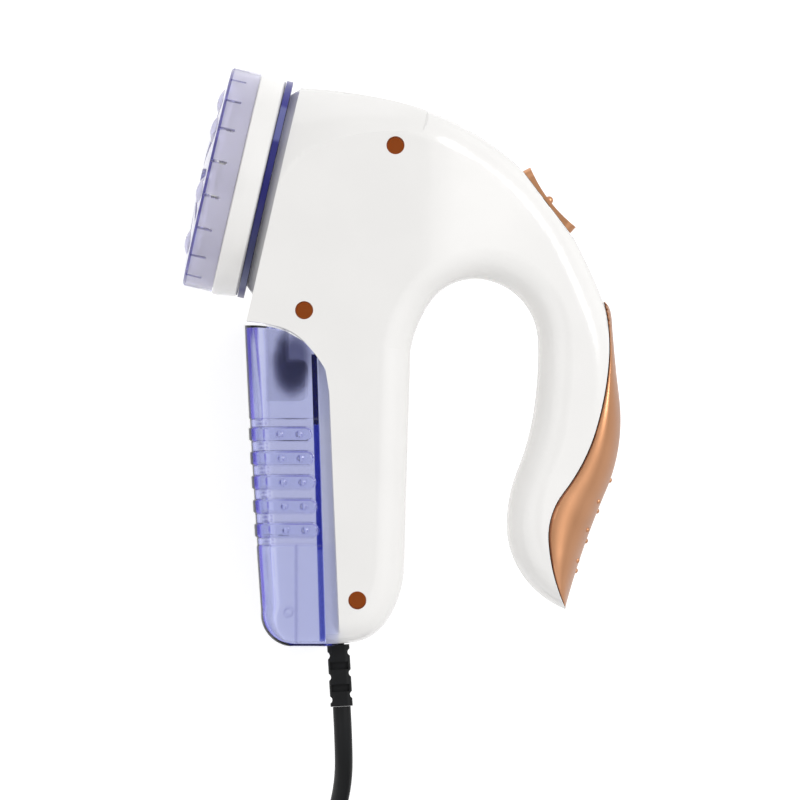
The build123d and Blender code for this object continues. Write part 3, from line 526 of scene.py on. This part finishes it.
# The grip pads: bars with round ends that run round the front, two small domes on each end of a bar. Gives
# the level of the nearest bar's middle, how far a point lies inside its edge, and how far it lies from its
# two domes.
def padPlaces(x, y, onSide):
    f = padForm
    row = np.clip(np.round((f["top"] - y) / f["pitch"]), 0, f["count"] - 1)
    middle, end = f["top"] - row * f["pitch"], f["end"] + row * f["step"] - f["halfHeight"]
    edge = f["halfHeight"] - np.hypot(np.maximum(x - end, 0) * onSide, y - middle)
    apart = [np.hypot(x - end - f["halfHeight"] - place - f["domeInset"], y - middle)
             for place in f["domePlaces"]]
    return middle, edge, apart


# Height of the pads over the sunk panel: the bars rise over a short slope, the domes are half ellipsoids.
def padRelief(x, y, onSide):
    f = padForm
    middle, edge, apart = padPlaces(x, y, onSide)
    height = f["rise"] * smoothStep(edge, *f["slope"])
    for far in apart:
        dome = np.sqrt(np.clip(1 - far ** 2 / f["domeRadius"] ** 2, 0, 1))
        height = height + onSide * f["domeRise"] * dome
    return height - f["panelDepth"] * between(y, f["panelLow"], f["panelHigh"], f["panelEase"])


def legFront(y):  # front face of the leg, less the running gap
    return boxForm["legFront"] - boxForm["legSlope"] * (y - boxForm["legTop"])


# Painted shade on the box's outer face, as two attributes. The first darkens towards the deep tint that
# stands for the thick front edge seen end on, with a half disc and a few strokes beside each bar, painted
# shade along the bars' upper and lower edges, rings of painted shade round the domes, and dark lines along
# the panel's two edges, the pillar and the locating ring of the lower part. The second is a painted shadow
# cloud that greys the box under the top curve.
def boxShade(x, y, z, reach, onSide):
    p = boxPaint
    middle, edge, apart = padPlaces(x, y, onSide)
    panel = between(y, p["panelLow"], p["panelHigh"], p["edgeEase"])
    width = np.interp(y, p["edgeLevels"], p["edgeWidths"])
    thick = 1 - smoothStep(reach, width - p["edgeEase"], width + p["edgeEase"])
    disc = np.hypot(reach * p["discSquash"], y - middle - p["discLift"])
    pads = panel * (1 - smoothStep(disc, *p["discRadius"]))
    waves = 0.5 + 0.5 * np.sin(y * p["strokeWaves"])
    strokes = panel * stroke(reach, *p["stroke"]) * waves * smoothStep(np.abs(y - middle), *p["strokeGap"])
    stain = np.maximum(thick * (1 - panel * p["edgeInPanel"]), pads)
    stain = stain * smoothStep(np.abs(z), *p["cornerFrom"]) + strokes

    bars = stroke(edge, *p["barTop"]) * (y > middle) * smoothStep(x, *p["barTopFade"])
    bars = bars + stroke(edge, *p["barFoot"]) * (y < middle)
    stain = stain + panel * onSide * (bars + p["panelShade"])
    for far in apart:
        stain = stain + onSide * stroke(far, *p["domeRing"])

    lines = band(y, p["panelHigh"], p["panelLine"]) + band(y, p["panelLow"], p["panelLine"])
    lines = lines + stroke(x, *p["pillar"]) * (y < p["panelLow"]) + stroke(x, *p["fold"])
    lines = lines + stroke(np.hypot(x - p["pin"][0], y - p["pin"][1]), *p["pinRing"])
    stain = stain + onSide * p["lineShade"] * lines * (reach > p["leastReach"])

    (shadeCloudX, shadeCloudY), (halfX, halfY) = p["shadeCloud"], p["shadeCloudSize"]
    far = np.hypot((x - shadeCloudX - p["shadeCloudLean"] * y) / halfX, (y - shadeCloudY) / halfY)
    return stain, (1 - smoothStep(far, *p["shadeCloudRange"])) * onSide * p["shadeCloudHaze"]


# Rows run from the top curve down the front and along the bottom. Each row crosses from one lip along the
# side face, round a corner arc, over the front and back again, and its two halves are alike. The first rows
# are bowed up by a parabola between the front and the lip, which gives the curved upper edge. With an inset
# it is the wall's inner face, without the pads. Gives the points, and at each the painted edge shade, the
# painted shadow cloud and the lip.
def boxSheet(inset):
    f = boxForm
    front = arcThrough(*f["frontArc"], f["frontPoints"])
    corner = arcThrough(*f["cornerArc"], f["cornerPoints"])[1:]
    outer = np.vstack([front, corner, [f["bottomEnd"]]])
    lip = np.array(f["lip"])
    u = np.linspace(0, 1, f["rows"])
    away = alongPath(outer, np.interp(u, f["stations"], shareAt(outer, f["frontLevels"]) + [1]))
    near = alongPath(lip, np.interp(u, f["stations"], shareAt(lip, f["lipLevels"]) + [1]))
    heading = near - away
    length = np.hypot(heading[:, 0], heading[:, 1])[:, None]
    heading = heading / length
    away, length = away + heading * inset, length - inset
    rounding = np.interp(u, f["roundingStations"], f["roundingShares"]) * f["rounding"]
    rounding = np.maximum(rounding - inset, f["leastRounding"])[:, None]
    half = f["halfWidth"] - inset

    share = np.linspace(1, 0, f["sideColumns"])[None, :] * np.ones((f["rows"], 1))
    reach = rounding + (length - rounding) * share
    bend = np.linspace(0, math.pi / 2, f["arcColumns"] + 2)[None, 1:-1] * np.ones((f["rows"], 1))
    drawnIn, drop = rounding * (1 - np.sin(bend)), rounding * (1 - np.cos(bend))
    crossFront = np.linspace(1, -1, f["frontColumns"] + 2)[None, :] * (half - rounding)
    reachAll = np.hstack([reach, drawnIn, 0 * crossFront, drawnIn[:, ::-1], reach[:, ::-1]])
    z = np.hstack([0 * reach + half, half - drop, crossFront, -(half - drop)[:, ::-1], 0 * reach - half])
    crossed = np.clip(reachAll / (length + inset), 0, 1)
    bow = f["bowHeight"] * 4 * crossed * (1 - crossed) * (1 - smoothStep(u, 0, f["bowRows"]))[:, None]
    x = away[:, :1] + heading[:, :1] * reachAll + bow * f["bowWay"][0]
    y = away[:, 1:] + heading[:, 1:] * reachAll + bow * f["bowWay"][1]
    if inset == 0:
        turned = np.cos(bend)
        facing = np.hstack([0 * reach + 1, turned, 0 * crossFront, turned[:, ::-1], 0 * reach + 1])
        rise = padRelief(x, y, facing > 0.5)
        x = x - rise * np.sqrt(1 - facing ** 2) * heading[:, :1]
        y = y - rise * np.sqrt(1 - facing ** 2) * heading[:, 1:]
        z = z + rise * facing * np.sign(z)
        stain, haze = boxShade(x, y, z, reachAll, facing > 0.5)
    else:
        stain, haze = 0 * x, 0 * x
    low, high = boxPaint["lipEase"]
    clear = smoothStep(x, legFront(y) + low, legFront(y) + high)
    return np.stack([x, y, z], -1), np.stack([stain, haze, clear], -1)


def shellFaces(rows, columns):  # two sheets of the same grid, back to back, joined along their borders
    sheet = gridFaces(rows, columns, closeColumns=False)
    size = rows * columns
    index = np.arange(size).reshape(rows, columns)
    border = np.concatenate([index[0, :-1], index[:-1, -1], index[-1, :0:-1], index[:0:-1, 0]])
    after = np.roll(border, -1)
    rim = np.stack([after, border, border + size, after + size], -1)
    return np.vstack([sheet, sheet[:, ::-1] + size, rim])


# The outer and inner face of the wall as one closed shell, and a block for each strip against the leg.
def lintBoxMesh():
    f, wall = stripForm, boxForm["wall"]
    (outerSheet, outerShade), (innerSheet, innerShade) = boxSheet(0.0), boxSheet(wall)
    points = toRow(np.vstack([outerSheet.reshape(-1, 3), innerSheet.reshape(-1, 3)]))
    faces = outwards(points, shellFaces(*outerSheet.shape[:2]))
    shades = [outerShade.reshape(-1, 3), innerShade.reshape(-1, 3)]
    half, bottom = boxForm["halfWidth"] - wall - f["gap"], boxForm["bottomEnd"][1] + wall + f["gap"]
    blockFaces = np.array([(0, 1, 3, 2), (4, 6, 7, 5), (0, 4, 5, 1), (2, 3, 7, 6), (0, 2, 6, 4),
                           (1, 5, 7, 3)])
    for top, low, depth, stain in f["strips"]:
        low = bottom if low is None else low
        spans = [(half, half - depth), (depth - half, -half)] if depth else [(half, -half)]
        for ends in spans:
            z, y, behind = np.meshgrid(ends, (top, low), (1, 0), indexing="ij")
            x = legFront(y) - f["thickness"] * behind
            corners = toRow(np.stack([x, y, z], -1).reshape(-1, 3))
            faces = np.vstack([faces, outwards(corners, blockFaces) + len(points)])
            points = np.vstack([points, corners])
            shades.append(np.array([[stain, 0.0, 0.0]] * len(corners)))
    return points, faces, np.vstack(shades)


def painted(piece, names, values):  # one attribute of the mesh's points for each column of values
    for name, column in zip(names, values.T):
        attribute = piece.data.attributes.new(name, "FLOAT", "POINT")
        attribute.data.foreach_set("value", column.astype(np.float32))


boxPoints, boxFaces, boxShades = lintBoxMesh()
lintBox = newMesh("lintBoxShell", boxPoints, boxFaces, "clear_violet", "lint_bin", boxForm["sharpAngle"])
# painted shade as attributes: deep edge tint with drawn lines, the shadow cloud, and the clear lip
painted(lintBox, ("stain", "haze", "lip"), boxShades)
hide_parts("lint_box")
print("lint box wrapped")

# Insert on the back of the handle: a crowned skin between the seam and the back, with the nubs on it. Its
# wall, the share of that left at the sides, the most gap and the sink are shares. A row of nubs is how far
# up from the tip its first one stands, how many there are, and how far they stand to the sides.
insertForm = {"rows": 170, "columns": 110, "sharpAngle": 60.0, "top": 15.0, "endShares": (-0.35, 1.35),
              "seamGap": 0.2, "mostGap": 0.8, "seamTrim": 0.05, "wall": 0.16, "wallSides": 0.5,
              "power": 2.5, "edgeWidth": 0.6, "edgeDrop": 1.1, "proud": 0.14,
              "proudLevels": (-14, -5, 1, 6.4, 10, 12, 13.6, 14.5, 15),
              "proudHeights": (0, 0.1, 0.4, 0.8, 1.2, 1.25, 1.0, 0.5, 0),
              "nubRadius": 0.8, "nubSink": 0.3, "nubPitch": 8.9,
              "nubs": ((11.2, 4, (0.0,)), (14.2, 3, (9.5, -9.5)))}
# Outlines of the handle, each a run of arcs through these points that starts along the heading, and the
# curve that draws its side faces in: distance from the neck, and half the thickness.
handleForm = {"back": ((47.4, 34.1), (57.2, 12.5), (60.9, -12.0), (57.2, -37.4), (45.8, -70.2)),
              "backHeading": (0.62, -0.78),
              "loop": ((45.8, -70.2), (33.5, -60.0), (29.7, -47.0), (32.6, -32.0), (37.4, -14.0),
                       (38.4, 4.0)),
              "loopHeading": (-0.93, 0.37),
              "seam": ((56.4, 15.4), (57.8, -2.0), (54.3, -20.4), (45.3, -37.8), (41.1, -51.5),
                       (45.8, -70.2)),
              "seamHeading": (0.25, -1),
              "sideReach": (5, 22, 27, 75), "sideWidth": (30.8, 30.8, 16.5, 16.5), "rounding": 8.5}


# Each arc leaves its start along the heading and turns by twice the angle between heading and chord.
def tangentArcs(points, heading, count=40):
    path, heading = [np.array(points[:1], float)], np.array(heading) / math.hypot(*heading)
    for start, end in zip(points, points[1:]):
        chord, normal = np.subtract(end, start), np.array([-heading[1], heading[0]])
        turn = 2 * math.atan2(chord @ normal, chord @ heading)
        radius = (chord @ chord) / (2 * (chord @ normal))
        angle = np.linspace(0, turn, count)[1:, None]
        path.append(start + radius * (np.sin(angle) * heading + (1 - np.cos(angle)) * normal))
        heading = math.cos(turn) * heading + math.sin(turn) * normal
    return np.vstack(path)


def bezier(t, first, second, third, last):  # cubic curve with these four control values
    return (first * (1 - t) ** 3 + 3 * second * t * (1 - t) ** 2 + 3 * third * t ** 2 * (1 - t)
            + last * t ** 3)


# Height of the flank above the middle plane: the side face drawn in towards the handle along a curve, less
# the quarter round that joins it to the outline.
def flankLevel(spots, outlines):
    t, rounding = np.linspace(0, 1, 200), handleForm["rounding"]
    reach, width = bezier(t, *handleForm["sideReach"]), bezier(t, *handleForm["sideWidth"])
    apart = np.hypot(*(spots[:, None] - outlines[None, :]).transpose(2, 0, 1)).min(axis=1)
    short = np.clip(rounding - apart, 0, rounding)
    return np.interp(spots[:, 0], reach, width) - rounding + np.sqrt(rounding ** 2 - short ** 2)


def normals(path):  # to the left of the way along a polyline
    ahead = np.gradient(path, axis=0)
    return np.stack([-ahead[:, 1], ahead[:, 0]], -1) / np.hypot(ahead[:, 0], ahead[:, 1])[:, None]


def ball(centre, radius, rings=10, segments=16):  # by the angle from the pole and the angle round it
    around = np.arange(segments) * 2 * math.pi / segments
    polar, around = np.meshgrid(np.linspace(0, math.pi, rings + 1), around, indexing="ij")
    shell = np.stack([np.sin(polar) * np.cos(around), np.sin(polar) * np.sin(around), np.cos(polar)], -1)
    return weld(toRow(centre + radius * shell.reshape(-1, 3)), gridFaces(rings + 1, segments))


# Rows go down the seam and the back together, from their upper end to the tip. Each crosses from one flank
# over the back to the other as half a superellipse, whose edge drops into the seam by a quarter round.
def handleInsert():
    f, h = insertForm, handleForm
    wholeBack = tangentArcs(h["back"], h["backHeading"])
    outlines = np.vstack([wholeBack, tangentArcs(h["loop"], h["loopHeading"])])
    back = wholeBack[wholeBack[:, 1] < f["top"]]
    seam = tangentArcs(h["seam"], h["seamHeading"])
    inside = seam[:, 0] < np.interp(-seam[:, 1], -back[:, 1], back[:, 0]) - f["seamTrim"]
    seam = np.vstack([back[:1], seam[inside], back[-1:]])
    share = smoothStep(np.linspace(0, 1, f["rows"]), *f["endShares"])
    share = (share - share[0]) / (share[-1] - share[0])
    near, far = alongPath(seam, share), alongPath(back, share)
    far = far + normals(far) * np.interp(far[:, 1], f["proudLevels"], f["proudHeights"])[:, None]
    across = far - near
    span = np.hypot(across[:, 0], across[:, 1])
    near = near + across * np.minimum(f["seamGap"] / np.maximum(span, 0.01), f["mostGap"])[:, None]
    across, level = far - near, flankLevel(near, outlines)

    turn = np.linspace(0, math.pi, f["columns"])[None, :]
    outwardShare, sideShare = np.sin(turn) ** (2 / f["power"]), np.abs(np.cos(turn)) ** (2 / f["power"])
    run = np.hypot(across[:, 0], across[:, 1])[:, None] * outwardShare + level[:, None] * (1 - sideShare)
    edge = np.clip(run / f["edgeWidth"], 0, 1)
    rise = f["proud"] - f["edgeDrop"] * (1 - np.sqrt(1 - (1 - edge) ** 2))
    sheets = []
    for scale in (1.0, 1 - f["wall"]):
        x = near[:, :1] + across[:, :1] * outwardShare * scale
        y = near[:, 1:] + across[:, 1:] * outwardShare * scale
        z = np.sign(np.cos(turn)) * sideShare * (level[:, None] + rise) * (1 - (1 - scale) * f["wallSides"])
        sheets.append(np.stack([x, y, z], -1).reshape(-1, 3))
    points = toRow(np.vstack(sheets))
    faces = outwards(points, shellFaces(f["rows"], f["columns"]))
    length, outNormals = pathSteps(back)[-1], normals(far)
    for start, count, sides in f["nubs"]:
        rows = np.searchsorted(share, 1 - (start + f["nubPitch"] * np.arange(count)) / length)
        inwards = 1 - (1 - np.abs(sides[0] / level[rows]) ** f["power"]) ** (1 / f["power"])
        sunk = outNormals[rows] * f["nubRadius"] * f["nubSink"]
        spots = far[rows] - across[rows] * inwards[:, None] - sunk
        for spot in spots:
            for sideways in sides:
                knob, knobFaces = ball(np.array([*spot, sideways]), f["nubRadius"])
                faces = np.vstack([faces, outwards(knob, knobFaces) + len(points)])
                points = np.vstack([points, knob])
    return points, faces


insert = newMesh("handleInsert", *handleInsert(), "copper_paint", "housing", insertForm["sharpAngle"])
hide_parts("handle_grip")
print("handle insert made")

# Cord: out of the relief, down to the table, into a neat coil, and to the plug. The run's points lie
# between the lead-out below the relief and the coil. The plug's entry is how far past the plug's near end
# each of two points lies, and its level.
cordFacts = {"diameter": 0.005, "length": 1.45, "reliefSeat": (-17.2, -79.9, 0.0), "reliefLean": 3.3,
             "reliefLength": 17.5, "leadOut": 9.0,
             "run": [(-15.6, -119, -7.5), (-18.8, -131, -18.5), (-24.0, -144.5, -26.8),
                     (-28.6, -157, -29.0)],
             "coilCentre": (8.0, -172.0), "outerTurn": 38.0, "innerTurn": 20.5, "turnsEachLayer": 3.5,
             "climbTurns": 0.25, "lowLevel": -29.0, "highLevel": -24.0, "pointsEachTurn": 14,
             "plugEntry": ((-9, -24.1), (1, -24.5)), "resolution": 6, "bevelResolution": 4}


# The coil winds inwards on the table, climbs one diameter in a quarter turn and winds outwards again on
# top: its radius and level change in proportion to the turns made.
def cordRoute():
    f = cordFacts
    lean = math.radians(f["reliefLean"])
    way = np.array([math.sin(lean), -math.cos(lean), 0.0])
    leave = np.array(f["reliefSeat"]) + f["reliefLength"] * way
    (centreX, centreY), turns, rise = f["coilCentre"], f["turnsEachLayer"], f["climbTurns"]
    run = [leave, leave + f["leadOut"] * way, *f["run"], (centreX - f["outerTurn"], centreY, f["lowLevel"])]
    count = int((2 * turns + rise) * f["pointsEachTurn"])
    turned = np.linspace(0, 2 * turns + rise, count + 1)[1:]
    woundIn = np.clip(turned / turns, 0, 1)
    woundOut = np.clip((turned - turns - rise) / turns, 0, 1)
    climbed = np.clip((turned - turns) / rise, 0, 1)
    radius = f["outerTurn"] + (f["innerTurn"] - f["outerTurn"]) * (woundIn - woundOut)
    level = f["lowLevel"] + (f["highLevel"] - f["lowLevel"]) * climbed
    angle = math.pi + turned * 2 * math.pi
    coil = np.stack([centreX + radius * np.cos(angle), centreY + radius * np.sin(angle), level], -1)
    return np.vstack([run, coil]), leave


route, leave = cordRoute()
plugLow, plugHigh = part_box("plug_body")
entryX = (plugLow.x - origin[0]) * 1000
entryY = ((plugLow.y + plugHigh.y) / 2 - origin[1]) * 1000
tail = [(entryX + ahead, entryY, level) for ahead, level in cordFacts["plugEntry"]]
points = toRow(np.vstack([route, tail]))
line = bpy.data.curves.new("mainsCord", "CURVE")
line.dimensions = "3D"
spline = line.splines.new("NURBS")
spline.points.add(len(points) - 1)
spline.points.foreach_set("co", np.hstack([points, np.ones((len(points), 1))]).ravel())
spline.order_u = 3
spline.use_endpoint_u = True
spline.resolution_u = cordFacts["resolution"]
line.bevel_depth, line.bevel_resolution = cordFacts["diameter"] / 2, cordFacts["bevelResolution"]
line.use_fill_caps = True
cord = bpy.data.objects.new("mainsCord", line)
scene.collection.objects.link(cord)
line.materials.append(finishes["black_rubber"])
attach(cord, "housing")
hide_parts("cord", "cord_coil", "plug_lead")
print("cord laid")

# Table, lights and camera, in metres.
shot = {"cameraHeight": 6.0, "focalLength": 972.0, "sensorWidth": 36.0, "aim": (0.0, -12.22, 0.0),
        "tableReach": 2.5, "tableTones": ((0.498, 0.498, 0.498), (0.502, 0.502, 0.502)),
        "mottleScale": 300.0, "tableRough": 0.6,
        "tableGlow": 0.72, "dimFrom": (-0.02, 0.08), "dimGlow": (0.167, 0.167, 0.167),
        "horizon": 0.5, "zenith": 0.82, "zenithFrom": (0.0, 0.8), "overheadLoss": 0.8,
        "overheadFrom": (0.95, 0.985), "lampAim": (0, 0, 0.03),
        "lamps": (("keyLight", (1.1, 0.55, 1.2), 0.8, 10.0), ("fillLight", (-1.1, -0.4, 1.6), 1.8, 3.7))}


# The table glows a little so that it reads as white paper. To the right of the shaver it is dimmer in what
# glossy pieces mirror.
def paper():
    paint = Paint("paleTable")
    where = paint.place()
    mottle = paint.noise(where, shot["mottleScale"])
    mirrored = paint.node("ShaderNodeLightPath", output="Is Glossy Ray")
    mirrored = mirrored * (1.0 - paint.node("ShaderNodeLightPath", output="Is Transmission Ray"))
    aside = paint.axes(where)[0].smooth(*shot["dimFrom"])
    tone = paint.mixed(mottle, *shot["tableTones"])
    glow = paint.mixed(mirrored * aside, (1.0, 1.0, 1.0), shot["dimGlow"])
    return paint.finish(Base_Color=tone, Roughness=shot["tableRough"], Emission_Color=glow,
                        Emission_Strength=shot["tableGlow"])


corners = np.array([(-1, -1, 0), (1, -1, 0), (1, 1, 0), (-1, 1, 0)]) * shot["tableReach"]
tableMesh = bpy.data.meshes.new("table")
tableMesh.from_pydata(corners.tolist(), [], [(0, 1, 2, 3)])
tableTop = bpy.data.objects.new("table", tableMesh)
scene.collection.objects.link(tableTop)
tableMesh.materials.append(paper())

# The studio brightens from the horizon upwards, but is dark straight overhead, so that faces turned up
# mirror little.
scene.world = bpy.data.worlds.new("studio")
sky = Paint("studio", scene.world)
raised = sky.axes(sky.node("ShaderNodeTexCoord", output="Generated"))[2]
strength = shot["horizon"] + raised.smooth(*shot["zenithFrom"]) * (shot["zenith"] - shot["horizon"])
strength = strength * (1.0 - raised.smooth(*shot["overheadFrom"]) * shot["overheadLoss"])
glow = sky.node("ShaderNodeBackground", None, {"Color": (1.0, 1.0, 1.0), "Strength": strength})
sky.tree.links.new(glow.socket, sky.out.inputs["Surface"])

for name, where, size, power in shot["lamps"]:  # round soft boxes, turned to the object
    lamp = bpy.data.lights.new(name, "AREA")
    lamp.shape, lamp.size, lamp.energy = "DISK", size, power
    holder = bpy.data.objects.new(name, lamp)
    scene.collection.objects.link(holder)
    holder.location = where
    holder.rotation_mode = "QUATERNION"
    holder.rotation_quaternion = (Vector(shot["lampAim"]) - Vector(where)).to_track_quat("-Z", "Y")

lens = bpy.data.cameras.new("camera")
lens.lens, lens.sensor_width = shot["focalLength"], shot["sensorWidth"]
camera = bpy.data.objects.new("camera", lens)
scene.collection.objects.link(camera)
camera.location = toRow(shot["aim"]) + np.array([0, 0, shot["cameraHeight"]])
camera.rotation_euler = (0, 0, 0)
scene.camera = camera
scene.view_settings.view_transform = "Standard"
print("stage set")
